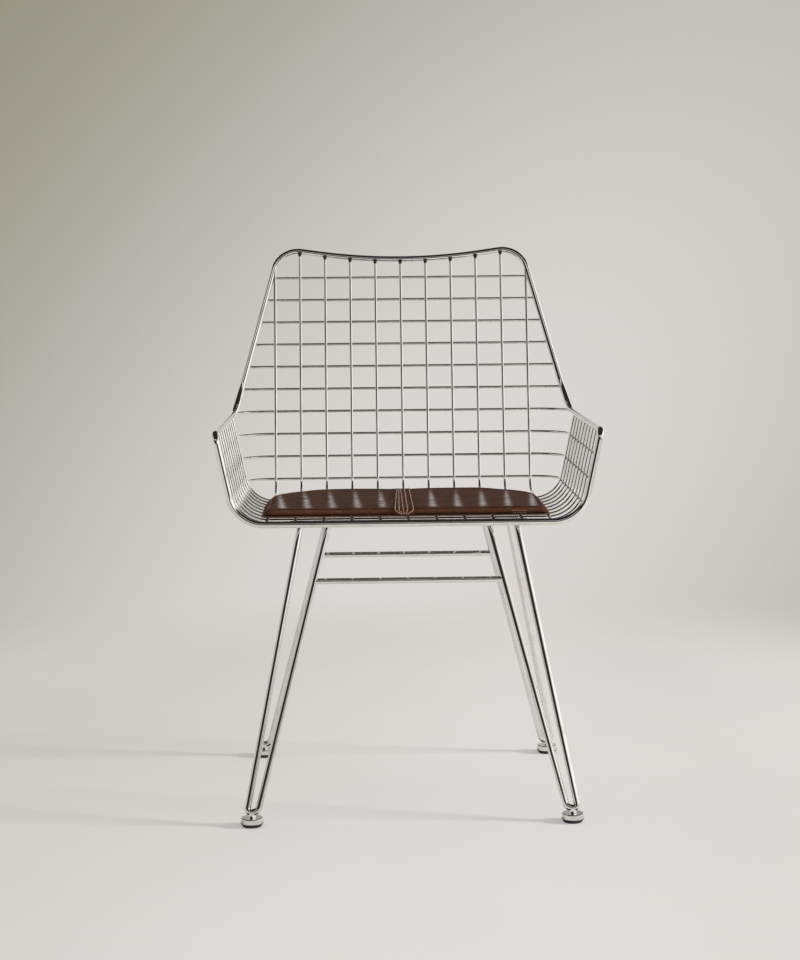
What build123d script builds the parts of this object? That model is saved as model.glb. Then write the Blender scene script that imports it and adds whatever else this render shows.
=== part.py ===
from build123d import *
import os
from math import atan, cos, radians, sin, sqrt, tan

# Wire armchair: a bucket shell of welded grid wires inside one bent rim rod, four hairpin legs
# on disc glides, and a loose leather pad on the seat.
# Millimetres. +X is to the right seen from the front, +Y to the back, +Z up from the floor.
# The shell is drawn with its front rod in the plane Y = 0, and the finished chair is then centred.

# Stock
ROD_D = 10.0             # rim and legs
BEARER_D = 10.4          # rods under the seat
STRETCHER_D = 9.0
WIRE_D = 4.5             # grid wires
WELD_GAP = 0.06          # left between two wires that are welded where they cross

# Rim, seen from the front
ARM_TIP_HALF_W = 286.0   # arm rail at its front bend
ARM_REAR_HALF_W = 279.5  # arm rail where it meets the back
SEAT_HALF_W = 258.0      # corner between the arm's front and the seat's front
TOP_HALF_W = 204.0       # top corners of the back
FRONT_Z = 441.0          # front edge of the seat
ARM_Z = 576.0
TOP_Z = 847.0            # top corners of the back, before rounding
TOP_DIP = 28.5           # fall of the top rail from its corners to its middle

# Rim, seen from the side
SEAT_DEPTH = 385.0       # front rod to the back wires, at the height of the seat
RECLINE = 14.0           # of the back, in degrees from upright

# Bends of the rods and wires, to the middle of the stock
TOP_MIDDLE_R = 950.0
TOP_CORNER_R = 42.0
ARM_REAR_R = 65.0
ARM_TIP_R = 13.0
SEAT_CORNER_R = 52.0
LONG_WIRE_R = 28.0       # between seat and back
HAIRPIN_OUTER_R = 6.0    # of a leg's outer rod into its foot
HAIRPIN_INNER_R = 11.0
HAIRPIN_FLAT = 0.6       # between a leg's two bends
WRAP_BEND_SHARE = 0.95   # most of a wire's run into an arm that its bend may take

# Grid
LONG_COUNT = 11          # run along the seat and up the back
LONG_PITCH = 42.4
LONG_DROP = 0.25         # top of these wires below the top of the front rod
HOOP_COUNT = 9           # run across the seat and up both arms
HOOP_PITCH = 34.5
CROSS_PITCH = 36.9       # height between the wires across the back
BACK_COUNT = 6           # above the arms
WRAP_COUNT = 3           # below the arms, carried on round into them

# Legs and stretchers
BEARER_HALF_L = 178.0
BEARER_BAY = 1.21        # hoop pitches from the front rod to the front bearer
BEARER_BAYS_APART = 6.58
LEG_TOP_OUTER_X = 162.0
LEG_TOP_INNER_X = 120.0
FOOT_HALF_W = 237.5
FOOT_HALF_DEPTH = 213.5
STRETCHER_Z = 352.0

# Feet
BASE_D = 34.0
BASE_FOOT_D = 27.0       # where the base meets the floor
BASE_H = 5.5
DISC_D = 33.0
DISC_H = 8.0
DISC_EDGE_R = 1.6
DISC_WEB = 4.0           # roof of the disc, which the pin runs through
NECK_D = 11.0
NECK_H = 2.0
PIN_D = 6.0
PIN_HEAD_D = 10.0
PIN_HEAD_H = 1.5
RUN_CLEAR = 0.3          # between the neck with its pin and the disc that turns on it
HEAD_CLEAR = 0.6         # round the pin's head in the disc's recess

# Seat pad
PAD_W = 422.0
PAD_D = 273.0
PAD_T = 10.5
PAD_FRONT_Y = 38.0       # front edge behind the front rod
PAD_MIDDLE_X = -6.0      # the loose pad lies a little to the left
PAD_REAR_R = 129.0
PAD_FRONT_R = 14.0
PAD_EDGE_R = 2.5
PAD_CLEAR = 0.3          # to the wires it lies on
BAND_W = 30.0
BAND_T = 1.2

# Layers of the grid: the long wires lie inside, and each layer crosses the next one
LAYER = WIRE_D + WELD_GAP
LONG_Z = FRONT_Z + (ROD_D - WIRE_D) / 2 - LONG_DROP
HOOP_Z = LONG_Z - LAYER
LEAN = atan((ARM_TIP_HALF_W - SEAT_HALF_W) / (ARM_Z - FRONT_Z))  # of the arm's side
OUTER_LONG_X = LONG_PITCH * (LONG_COUNT - 1) / 2

# Heights of the legs and feet
DISC_TOP = BASE_H + DISC_H
LEG_LOW_Z = DISC_TOP + NECK_H + ROD_D / 2
BEARER_Z = LONG_Z - (WIRE_D + BEARER_D) / 2 - WELD_GAP
FRONT_BEARER_Y = BEARER_BAY * HOOP_PITCH
REAR_BEARER_Y = FRONT_BEARER_Y + BEARER_BAYS_APART * HOOP_PITCH
BASE_MIDDLE_Y = (FRONT_BEARER_Y + REAR_BEARER_Y) / 2

SIDES = {"left": -1, "right": 1}
ENDS = {"front": (FRONT_BEARER_Y, BASE_MIDDLE_Y - FOOT_HALF_DEPTH),
        "rear": (REAR_BEARER_Y, BASE_MIDDLE_Y + FOOT_HALF_DEPTH)}


def mirrored(points):
    """The points of the left half, in reverse, for the points of the right half."""
    return [(-x, y, z) for x, y, z in reversed(points)]


def rod(path, diameter):
    """A round rod along a path."""
    return sweep(Plane(origin=path @ 0, z_dir=path % 0) * Circle(diameter / 2), path=path)


def straight_rod(start, end, diameter):
    """A round rod between two points on a level."""
    run = Vector(end) - Vector(start)
    section = Plane(origin=start, x_dir=(0, 0, 1), z_dir=run) * Circle(diameter / 2)
    return extrude(section, run.length)


def coped(wire, *onto):
    """A wire cut to fit the rods that its ends are welded on."""
    for other in onto:
        wire = wire - other
    return max(wire.solids(), key=lambda solid: solid.volume)


def tangent_length(before, corner, after, radius):
    """How far a bend of this radius reaches from its corner along each leg."""
    turn = (Vector(corner) - Vector(before)).get_angle(Vector(after) - Vector(corner))
    return radius * tan(radians(turn) / 2)


def back_y(z, layer):
    """Depth of the back at a height, counted in layers behind the long wires."""
    slope = radians(RECLINE)
    return SEAT_DEPTH + (z - LONG_Z) * tan(slope) + layer * LAYER / cos(slope)


def rail_x(y):
    """Half width between the arm rails at a depth."""
    return ARM_TIP_HALF_W + (ARM_REAR_HALF_W - ARM_TIP_HALF_W) * y / back_y(ARM_Z, 0.5)


def side_rod_x(z):
    """Half width between the side rods of the back at a height."""
    rise = (TOP_Z - z) / (TOP_Z - ARM_Z)
    return TOP_HALF_W + (ARM_REAR_HALF_W - TOP_HALF_W) * rise


def hoop_points(y):
    """Arm top and seat corner of a hoop wire on the right side."""
    top_x = rail_x(y) - LAYER / 2 / cos(LEAN)
    return [(top_x, y, ARM_Z), (top_x - (ARM_Z - HOOP_Z) * tan(LEAN), y, HOOP_Z)]


def hoop_bend(y):
    """Bend radius of a hoop wire, which starts to turn up under the outer long wire."""
    top, corner = hoop_points(y)
    return (corner[0] - OUTER_LONG_X) / tangent_length(top, corner, (0, y, HOOP_Z), 1.0)


def wrap_x(y, z):
    """Half width at which a wire lies against the outside of the hoops."""
    bend_z = HOOP_Z + hoop_bend(y)
    reach = hoop_bend(y) + LAYER
    if z > bend_z - reach * sin(LEAN):
        return rail_x(y) - (ARM_Z - z) * tan(LEAN) + LAYER / 2 / cos(LEAN)
    return OUTER_LONG_X + sqrt(reach ** 2 - (bend_z - z) ** 2)


# Rim
def rim_corners():
    """Corners of the rim on the right side, from the top of the back to the seat's front."""
    return [(TOP_HALF_W, back_y(TOP_Z, 0.5), TOP_Z), (ARM_REAR_HALF_W, back_y(ARM_Z, 0.5), ARM_Z),
            (ARM_TIP_HALF_W, 0, ARM_Z), (SEAT_HALF_W, 0, FRONT_Z)]


def rim_path():
    """The closed centre line of the rim."""
    middle_z = TOP_Z - TOP_DIP
    right = rim_corners()
    bends = [TOP_CORNER_R, ARM_REAR_R, ARM_TIP_R, SEAT_CORNER_R]
    corners = [(0, back_y(middle_z, 0.5), middle_z)] + right + mirrored(right)
    return FilletPolyline(*corners, radius=[TOP_MIDDLE_R] + bends + bends[::-1], close=True)


# Grid wires
def long_wire(x, path, rim):
    """A wire from the front rod along the seat, round its rear bend and up to the top rail."""
    top_z = max(point.Z for point in path.intersect(Plane.YZ.offset(x)))
    points = [(x, 0, LONG_Z), (x, SEAT_DEPTH, LONG_Z), (x, back_y(top_z, 0), top_z)]
    return coped(rod(FilletPolyline(*points, radius=LONG_WIRE_R), WIRE_D), rim)


def hoop_wire(y, rim):
    """A wire from one arm rail down, across under the long wires and up to the other rail."""
    right = hoop_points(y)
    return coped(rod(FilletPolyline(*right, *mirrored(right), radius=hoop_bend(y)), WIRE_D), rim)


def back_wire(z, rim):
    """A straight wire across the back between its side rods."""
    x, y = side_rod_x(z), back_y(z, 1)
    return coped(straight_rod((-x, y, z), (x, y, z), WIRE_D), rim)


def bent_back_wire(end, corner, rim):
    """A wire across the back, bent forward outside the last long wires to its two ends."""
    points = [end, corner] + mirrored([end, corner])
    run = min(corner[0] - OUTER_LONG_X - WIRE_D, WRAP_BEND_SHARE * (corner[1] - end[1]))
    bend = run / tangent_length(*points[:3], 1.0)
    return coped(rod(FilletPolyline(*points, radius=bend), WIRE_D), rim)


def kink_wire(rim):
    """The wire level with the arms, which ends where each arm rail starts."""
    top, kink, tip, _ = rim_corners()
    rail_start = kink[1] - tangent_length(top, kink, tip, ARM_REAR_R)
    corner = (ARM_REAR_HALF_W, back_y(ARM_Z, 1), ARM_Z)
    return bent_back_wire((rail_x(rail_start), rail_start, ARM_Z), corner, rim)


def wrap_wire(z, rim):
    """A wire across the back that runs on along the outside of both arms to the rim."""
    depth = back_y(z, 1)
    return bent_back_wire((wrap_x(0, z), 0, z), (wrap_x(depth, z), depth, z), rim)


# Legs and stretchers
def bearer(y):
    """A rod under the seat that carries the tops of two legs."""
    return straight_rod((-BEARER_HALF_L, y, BEARER_Z), (BEARER_HALF_L, y, BEARER_Z), BEARER_D)


def leg_points(side, end):
    """Outer top, outer and inner corner of the bend, and inner top of a hairpin leg."""
    top_y, foot_y = ENDS[end]
    outer, inner = (LEG_TOP_OUTER_X, top_y, BEARER_Z), (LEG_TOP_INNER_X, top_y, BEARER_Z)
    low = (FOOT_HALF_W, foot_y, LEG_LOW_Z)
    inwards, outwards = [(FOOT_HALF_W + step, foot_y, LEG_LOW_Z) for step in (-ROD_D, ROD_D)]
    outer_x = FOOT_HALF_W + HAIRPIN_FLAT / 2 + tangent_length(outer, low, inwards, HAIRPIN_OUTER_R)
    inner_x = FOOT_HALF_W - HAIRPIN_FLAT / 2 - tangent_length(inner, low, outwards, HAIRPIN_INNER_R)
    points = [outer, (outer_x, foot_y, LEG_LOW_Z), (inner_x, foot_y, LEG_LOW_Z), inner]
    return [(SIDES[side] * x, y, z) for x, y, z in points]


def leg(side, end, carrier):
    """A rod bent to a narrow V, with both its tops welded under a bearer."""
    bends = [HAIRPIN_OUTER_R, HAIRPIN_INNER_R]
    return coped(rod(FilletPolyline(*leg_points(side, end), radius=bends), ROD_D), carrier)


def stretcher(end, legs):
    """A rod between the inner rods of two legs."""
    _, _, low, top = leg_points("right", end)
    share = (STRETCHER_Z - low[2]) / (top[2] - low[2])
    x, y, z = [a + (b - a) * share for a, b in zip(low, top)]
    return coped(straight_rod((-x, y, z), (x, y, z), STRETCHER_D), *legs)


# Feet
def upright(x, y, low, high, diameter):
    """An upright cylinder between two heights."""
    return Pos(x, y, (low + high) / 2) * Cylinder(diameter / 2, high - low)


def foot_neck(x, y, leg_rod):
    """Neck welded under a leg's bend, with the headed pin that holds the disc."""
    web_low = DISC_TOP - DISC_WEB
    head_top = web_low - RUN_CLEAR
    neck = upright(x, y, DISC_TOP + RUN_CLEAR, LEG_LOW_Z, NECK_D)
    pin = upright(x, y, head_top - PIN_HEAD_H, LEG_LOW_Z, PIN_D)
    head = upright(x, y, head_top - PIN_HEAD_H, head_top, PIN_HEAD_D)
    return coped(neck + pin + head, leg_rod)


def glide_disc(x, y):
    """Chromed disc with a hole for the pin and a recess below for its head."""
    disc = upright(x, y, BASE_H, DISC_TOP, DISC_D)
    disc = fillet(disc.edges().group_by(Axis.Z)[-1], DISC_EDGE_R)
    disc -= upright(x, y, BASE_H, DISC_TOP, PIN_D + 2 * RUN_CLEAR)
    return disc - upright(x, y, BASE_H, DISC_TOP - DISC_WEB, PIN_HEAD_D + 2 * HEAD_CLEAR)


def glide_base(x, y):
    """Black base under the disc, drawn in towards the floor."""
    return Pos(x, y, BASE_H / 2) * Cone(BASE_FOOT_D / 2, BASE_D / 2, BASE_H)


# Seat pad
def seat_pad(low):
    """Flat pad with rounded corners, widest curves at the rear."""
    middle_y = PAD_FRONT_Y + PAD_D / 2
    pad = Pos(PAD_MIDDLE_X, middle_y, low + PAD_T / 2) * Box(PAD_W, PAD_D, PAD_T)
    corners = pad.edges().filter_by(Axis.Z).group_by(Axis.Y)
    pad = fillet(corners[-1], PAD_REAR_R)
    pad = fillet(pad.edges().filter_by(Axis.Z).group_by(Axis.Y)[0], PAD_FRONT_R)
    rims = pad.edges().group_by(Axis.Z)
    return fillet(rims[0] + rims[-1], PAD_EDGE_R)


def pad_centre_band(low):
    """Band over the middle of the pad, turned down over its front and rear edges to half height."""
    middle = (PAD_MIDDLE_X, PAD_FRONT_Y + PAD_D / 2, low + PAD_T / 2)
    centre = Plane(origin=middle, x_dir=(0, 1, 0), z_dir=(1, 0, 0))
    over = RectangleRounded(PAD_D + 2 * BAND_T, PAD_T + 2 * BAND_T, PAD_EDGE_R + BAND_T)
    lower_half = Pos(0, -PAD_T) * Rectangle(2 * PAD_D, 2 * PAD_T)
    section = over - RectangleRounded(PAD_D, PAD_T, PAD_EDGE_R) - lower_half
    return extrude(centre * section, BAND_W / 2, both=True)


# Assembly
path = rim_path()
rim = rod(path, ROD_D)
nodes = {"rim": rim}

for number in range(LONG_COUNT):
    x = LONG_PITCH * (number - (LONG_COUNT - 1) / 2)
    nodes[f"long_wire_{number + 1:02d}"] = long_wire(x, path, rim)

for number in range(1, HOOP_COUNT + 1):
    nodes[f"hoop_wire_{number:02d}"] = hoop_wire(HOOP_PITCH * number, rim)

for number in range(1, BACK_COUNT + 1):
    z = ARM_Z + CROSS_PITCH * (BACK_COUNT + 1 - number)
    nodes[f"back_wire_{number:02d}"] = back_wire(z, rim)

nodes["kink_wire"] = kink_wire(rim)

for number in range(1, WRAP_COUNT + 1):
    nodes[f"wrap_wire_{number:02d}"] = wrap_wire(ARM_Z - CROSS_PITCH * number, rim)

for end, (top_y, foot_y) in ENDS.items():
    carrier = bearer(top_y)
    nodes[f"seat_bearer_{end}"] = carrier
    legs = []
    for side, sign in SIDES.items():
        corner = f"{end}_{side}"
        legs.append(leg(side, end, carrier))
        foot_x = sign * FOOT_HALF_W
        nodes[f"leg_{corner}"] = legs[-1]
        nodes[f"foot_neck_{corner}"] = foot_neck(foot_x, foot_y, legs[-1])
        nodes[f"glide_disc_{corner}"] = glide_disc(foot_x, foot_y)
        nodes[f"glide_base_{corner}"] = glide_base(foot_x, foot_y)
    nodes[f"stretcher_{end}"] = stretcher(end, legs)

pad_low = LONG_Z + WIRE_D / 2 + PAD_CLEAR
nodes["seat_pad"] = seat_pad(pad_low)
nodes["pad_centre_band"] = pad_centre_band(pad_low)

# Centred over the floor, front to back
boxes = [piece.bounding_box() for piece in nodes.values()]
middle_y = (min(box.min.Y for box in boxes) + max(box.max.Y for box in boxes)) / 2
print(f"front rod at Y = {-middle_y:.3f}")

os.makedirs("parts", exist_ok=True)
for name, piece in nodes.items():
    export_step(Pos(0, -middle_y, 0) * piece, f"parts/{name}.step")
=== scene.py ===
import logging
from dataclasses import dataclass, field
from enum import Enum
from math import cos, pi, radians, sin
from typing import Any, Optional, Union

import bmesh
import bpy
import numpy as np
from mathutils import Matrix, Vector


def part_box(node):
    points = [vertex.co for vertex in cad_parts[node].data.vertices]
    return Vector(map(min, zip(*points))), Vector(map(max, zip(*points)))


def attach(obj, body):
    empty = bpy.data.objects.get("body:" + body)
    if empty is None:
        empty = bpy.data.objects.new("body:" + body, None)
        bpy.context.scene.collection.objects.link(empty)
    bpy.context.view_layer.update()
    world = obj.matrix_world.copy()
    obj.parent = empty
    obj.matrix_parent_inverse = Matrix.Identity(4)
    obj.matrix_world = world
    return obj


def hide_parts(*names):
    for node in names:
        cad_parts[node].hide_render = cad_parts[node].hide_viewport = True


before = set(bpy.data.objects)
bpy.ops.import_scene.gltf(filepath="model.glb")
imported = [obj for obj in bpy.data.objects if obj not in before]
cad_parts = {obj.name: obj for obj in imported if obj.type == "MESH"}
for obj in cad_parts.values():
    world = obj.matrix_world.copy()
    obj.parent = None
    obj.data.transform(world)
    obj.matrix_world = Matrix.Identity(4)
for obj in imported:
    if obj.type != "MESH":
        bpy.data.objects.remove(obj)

LOG = logging.getLogger("wire_armchair")
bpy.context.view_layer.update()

Triple = tuple[float, float, float]
Colour = Triple
Span = tuple[float, float]
Surface = tuple[np.ndarray, np.ndarray]

BLACK: Colour = (0.0, 0.0, 0.0)
RIGHT, BACK, UP = np.eye(3)


class Socket:
    """One value in a shader: arithmetic on it adds Math nodes to its graph."""

    def __init__(self, graph: "ShaderGraph", node: bpy.types.Node, output: Union[str, int]) -> None:
        """Takes one output of a graph's node, by its name or number."""
        self.graph = graph
        self.node = node
        self.output = output

    def _math(self, operation: str, first: "Value", second: "Value" = 0.0) -> "Socket":
        """Adds one Math node with that operation."""
        return self.graph.node("ShaderNodeMath", {"operation": operation}, {0: first, 1: second})

    def __add__(self, other: "Value") -> "Socket":
        """Sum."""
        return self._math("ADD", self, other)

    def __sub__(self, other: "Value") -> "Socket":
        """Difference."""
        return self._math("SUBTRACT", self, other)

    def __rsub__(self, other: "Value") -> "Socket":
        """Difference from a number."""
        return self._math("SUBTRACT", other, self)

    def __mul__(self, other: "Value") -> "Socket":
        """Product."""
        return self._math("MULTIPLY", self, other)

    def __neg__(self) -> "Socket":
        """Opposite."""
        return self._math("MULTIPLY", self, -1.0)

    def __abs__(self) -> "Socket":
        """Size without its sign."""
        return self._math("ABSOLUTE", self)

    __radd__ = __add__
    __rmul__ = __mul__

    def exp(self) -> "Socket":
        """e to this power."""
        return self._math("EXPONENT", self)

    def above(self, floor: float) -> "Socket":
        """This value, or the floor where that is higher."""
        return self._math("MAXIMUM", self, floor)

    def folded(self, reach: float) -> "Socket":
        """Distance to the nearest multiple of twice the reach."""
        return self._math("PINGPONG", self, reach)

    def ramp(self, low: float, high: float) -> "Socket":
        """Smooth step from 0 at low to 1 at high."""
        inputs = {"Value": self, "From Min": low, "From Max": high}
        return self.graph.node("ShaderNodeMapRange", {"interpolation_type": "SMOOTHSTEP"}, inputs)


Value = Union[Socket, float, int, tuple]
Inputs = dict[Union[str, int], Value]
Ray = tuple[Socket, Socket, Socket]


class ShaderGraph:
    """A node tree that is written as expressions."""

    def __init__(self, tree: bpy.types.NodeTree) -> None:
        """Empties the tree."""
        self.tree = tree
        tree.nodes.clear()

    def node(self, kind: str, settings: Optional[dict[str, Any]] = None, inputs: Optional[Inputs] = None,
             output: Union[str, int] = 0) -> Socket:
        """Adds any node.

        Args:
            kind: The node's Blender type.
            settings: Its own properties, set before its sockets.
            inputs: Values or links by the socket's name or number.
            output: The output that is wanted.

        Returns:
            That output.
        """
        made = self.tree.nodes.new(kind)
        for name, value in (settings or {}).items():
            setattr(made, name, value)
        for name, value in (inputs or {}).items():
            if isinstance(value, Socket):
                self.tree.links.new(value.node.outputs[value.output], made.inputs[name])
            else:
                made.inputs[name].default_value = value
        return Socket(self, made, output)

    def end(self, kind: str, shader: Socket) -> None:
        """Ends the tree in an output node of a kind."""
        self.node(kind, inputs={"Surface": shader})

    def mix(self, factor: Value, first: Union[Socket, Colour], second: Union[Socket, Colour]) -> Socket:
        """Colour between two colours: the factor 0 gives the first and 1 the second."""
        first, second = (c if isinstance(c, Socket) else (*c, 1.0) for c in (first, second))
        return self.node("ShaderNodeMix", {"data_type": "RGBA"}, {0: factor, 6: first, 7: second}, 2)

    def place(self) -> Socket:
        """Object coordinates, in metres in the chair's frame."""
        return self.node("ShaderNodeTexCoord", output="Object")

    def axis(self, vector: Socket, name: str) -> Socket:
        """One component of a vector, X, Y or Z."""
        return self.node("ShaderNodeSeparateXYZ", inputs={0: vector}, output=name)

    def noise(self, vector: Socket, scale: float, detail: float = 2.0, stretch: Triple = (1, 1, 1)) -> Socket:
        """Soft noise between 0 and 1.

        Args:
            vector: Where it is read.
            scale: Blotches per metre.
            detail: Octaves of finer noise.
            stretch: Factor on the scale along each axis.

        Returns:
            The noise.
        """
        if stretch != (1, 1, 1):
            vector = self.node("ShaderNodeMapping", inputs={0: vector, 3: stretch})
        return self.node("ShaderNodeTexNoise", inputs={"Vector": vector, "Scale": scale, "Detail": detail})

    def cells(self, vector: Socket, scale: float) -> Socket:
        """Distance to the nearest cell centre, for pebbled grain."""
        return self.node("ShaderNodeTexVoronoi", inputs={"Vector": vector, "Scale": scale})

    def attribute(self, name: str) -> Socket:
        """A number that the mesh holds at each vertex."""
        return self.node("ShaderNodeAttribute", {"attribute_name": name}, output="Fac")

    def bump(self, height: Socket, depth: float, strength: float = 1.0) -> Socket:
        """Normal of a relief between 0 and 1: its depth in metres, and how much of it shows."""
        inputs = {"Height": height, "Distance": depth, "Strength": strength}
        return self.node("ShaderNodeBump", inputs=inputs)


class Finish:
    """A finish: each kind gives its name and the sockets of its Principled shader."""

    name: str

    def sockets(self, graph: ShaderGraph) -> Inputs:
        """The shader's sockets, given by each kind."""
        raise NotImplementedError

    def material(self) -> bpy.types.Material:
        """Makes the material with one Principled shader.

        Returns:
            The material.
        """
        material = bpy.data.materials.new(self.name)
        material.use_nodes = True
        graph = ShaderGraph(material.node_tree)
        shader = graph.node("ShaderNodeBsdfPrincipled", inputs=self.sockets(graph))
        graph.end("ShaderNodeOutputMaterial", shader)
        return material


@dataclass(frozen=True)
class ChromeFinish(Finish):
    """Bright plated steel with faint smears and pits."""

    name: str
    bright: Colour = (0.82, 0.815, 0.80)
    dull: Colour = (0.70, 0.69, 0.67)
    polish: float = 0.04
    smear: float = 0.07
    smears_per_metre: float = 38.0
    smear_range: Span = (0.42, 0.78)
    pits_per_metre: float = 1500.0
    pit_depth: float = 0.00004
    pit_strength: float = 0.04

    def sockets(self, graph: ShaderGraph) -> Inputs:
        """Smears dull the plate, and pits roughen its surface a little.

        Args:
            graph: The material's graph.

        Returns:
            The shader's sockets.
        """
        place = graph.place()
        smears = graph.noise(place, self.smears_per_metre, detail=4.0).ramp(*self.smear_range)
        pits = graph.noise(place, self.pits_per_metre, detail=1.0)
        return {
            "Base Color": graph.mix(smears, self.bright, self.dull),
            "Metallic": 1.0,
            "Roughness": smears * self.smear + self.polish,
            "Normal": graph.bump(pits, self.pit_depth, self.pit_strength),
        }


@dataclass(frozen=True)
class GlidePlasticFinish(Finish):
    """Matt black moulded plastic, dusty towards the floor."""

    name: str = "glide_plastic"
    black: Colour = (0.012, 0.012, 0.013)
    dust: Colour = (0.10, 0.095, 0.085)
    dust_height: float = 0.003
    dust_per_metre: float = 120.0
    dust_range: Span = (0.4, 0.75)
    dust_share: float = 0.6
    roughness: float = 0.48
    dust_roughness: float = 0.3
    grain_per_metre: float = 2200.0
    grain_depth: float = 0.00008

    def sockets(self, graph: ShaderGraph) -> Inputs:
        """Dust fades out above the floor, over fine moulding grain.

        Args:
            graph: The material's graph.

        Returns:
            The shader's sockets.
        """
        place = graph.place()
        grain = graph.noise(place, self.grain_per_metre)
        low = 1 - graph.axis(place, "Z").ramp(0.0, self.dust_height)
        specks = graph.noise(place, self.dust_per_metre, detail=3.0).ramp(*self.dust_range)
        dusty = low * specks * self.dust_share
        return {
            "Base Color": graph.mix(dusty, self.black, self.dust),
            "Roughness": dusty * self.dust_roughness + self.roughness,
            "Normal": graph.bump(grain, self.grain_depth, strength=0.35),
        }


@dataclass(frozen=True)
class LeatherFinish(Finish):
    """Dark oiled leather: pebbled grain, mottled dye, and an edge colour towards its edges: redder wear on
    most pieces, a painted highlight on the seat's roll and on the welt.
    """

    name: str
    dark: Colour = (0.046, 0.0165, 0.0078)
    warm: Colour = (0.070, 0.025, 0.0115)
    edge_wear_and_highlight: Colour = (0.070, 0.020, 0.007)
    edge_width: float = 0.012
    mottles_per_metre: float = 26.0
    mottle_range: Span = (0.3, 0.72)
    scuffs_per_metre: float = 210.0
    scuff_range: Span = (0.52, 0.75)
    creases_per_metre: float = 300.0
    grain_per_metre: float = 950.0
    relief: float = 0.00022
    sheen: float = 0.42
    coat: float = 0.095
    coat_roughness: float = 0.2

    def sockets(self, graph: ShaderGraph) -> Inputs:
        """Dye follows mottling and the distance to the pad's edge, which the mesh holds.

        Args:
            graph: The material's graph.

        Returns:
            The shader's sockets.
        """
        place = graph.place()
        mottle = graph.noise(place, self.mottles_per_metre, detail=5.0).ramp(*self.mottle_range)
        edge = 1 - graph.attribute("edge_distance").ramp(0.0, self.edge_width)
        scuff = graph.noise(place, self.scuffs_per_metre, 4.0, (1.0, 0.35, 1.0)).ramp(*self.scuff_range)
        creases = graph.noise(place, self.creases_per_metre, 3.0, (1.0, 0.4, 1.0))
        grain = graph.cells(place, self.grain_per_metre)
        dyed = graph.mix(mottle, self.dark, self.warm)
        return {
            # Edge colour towards the pad's edge: wear, and on the seat's roll and the welt a painted
            # highlight.
            "Base Color": graph.mix(edge * (scuff * 0.6 + 0.4), dyed, self.edge_wear_and_highlight),
            "Roughness": mottle * 0.08 + scuff * 0.06 + self.sheen,
            "Specular IOR Level": 0.0,
            "Coat Weight": self.coat,
            "Coat Roughness": self.coat_roughness,
            "Normal": graph.bump(grain * 0.6 + creases * 0.8, self.relief, strength=0.5),
        }


@dataclass(frozen=True)
class StreakedLeather(LeatherFinish):
    """The seat's leather: pale streaks before the wires of the back, a painted reflection of them, with a
    painted highlight on its roll and painted shade under the roll.
    """

    # The lighter edge colour here is a painted highlight along the roll, over the pad's last 16 mm.
    edge_wear_and_highlight: Colour = (0.17, 0.085, 0.055)
    edge_width: float = 0.016
    # The colour under the roll is painted shade, darkest at the pad's very edge.
    painted_under_shade: Colour = (0.062, 0.015, 0.004)
    painted_under_shade_edge: Span = (0.0015, 0.005)
    # pale is the streaks' colour: a painted reflection of the back's wires, laid into the base colour.
    pale: Colour = (0.50, 0.45, 0.42)
    polished: float = 0.9
    painted_reflection_share: float = 0.32
    spacing: float = 0.0424
    half_width: float = 0.0044
    fan: Span = (1.064, -0.36)
    narrowing: Span = (1.3, 3.5)
    steepness: float = 0.9
    front_fade: Span = (-0.170, -0.135)
    rear_fade: Span = (-0.08, 0.10)
    strokes_per_metre: Triple = (55.0, 105.0, 1.0)
    stroke_range: Span = (0.30, 0.56)
    faintest: float = 0.22
    band_middle: float = -0.006
    band_fade: Span = (0.018, 0.026)

    def streaks(self, graph: ShaderGraph, place: Socket) -> Socket:
        """Bells across evenly spaced lines that fan out and widen to the front, broken into strokes.

        Args:
            graph: The material's graph.
            place: Object coordinates.

        Returns:
            How strongly each place shows the streaks, between 0 and 1.
        """
        x, y = graph.axis(place, "X"), graph.axis(place, "Y")
        fanned = x * (self.fan[0] + self.fan[1] * y)
        narrowed = self.narrowing[0] + self.narrowing[1] * y
        aside = fanned.folded(self.spacing / 2) * narrowed * (1 / self.half_width)
        along = (1 - y.ramp(*self.rear_fade)) * y.ramp(*self.front_fade)
        strokes = graph.noise(place, 1.0, 3.0, self.strokes_per_metre).ramp(*self.stroke_range)
        beside_band = abs(x - self.band_middle).ramp(*self.band_fade)
        broken = self.faintest + (1 - self.faintest) * strokes
        return (-self.steepness * aside * aside).exp() * along * beside_band * broken

    def sockets(self, graph: ShaderGraph) -> Inputs:
        """The leather's own sockets, with painted shade under the roll and the streaks added: a painted
        reflection in the colour, and gloss in the coat.

        Args:
            graph: The material's graph.

        Returns:
            The shader's sockets.
        """
        sockets = super().sockets(graph)
        # Painted shade: the bottom of the roll is darkened towards the pad's edge.
        below = 1 - graph.attribute("edge_distance").ramp(*self.painted_under_shade_edge)
        shaded = graph.mix(below, sockets["Base Color"], self.painted_under_shade)
        streaks = self.streaks(graph, graph.place())
        # Painted reflection: the streaks lighten the base colour towards pale; their extra coat is real
        # gloss.
        sockets["Base Color"] = graph.mix(streaks * self.painted_reflection_share, shaded, self.pale)
        sockets["Coat Weight"] = streaks * self.polished + self.coat
        return sockets


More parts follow.
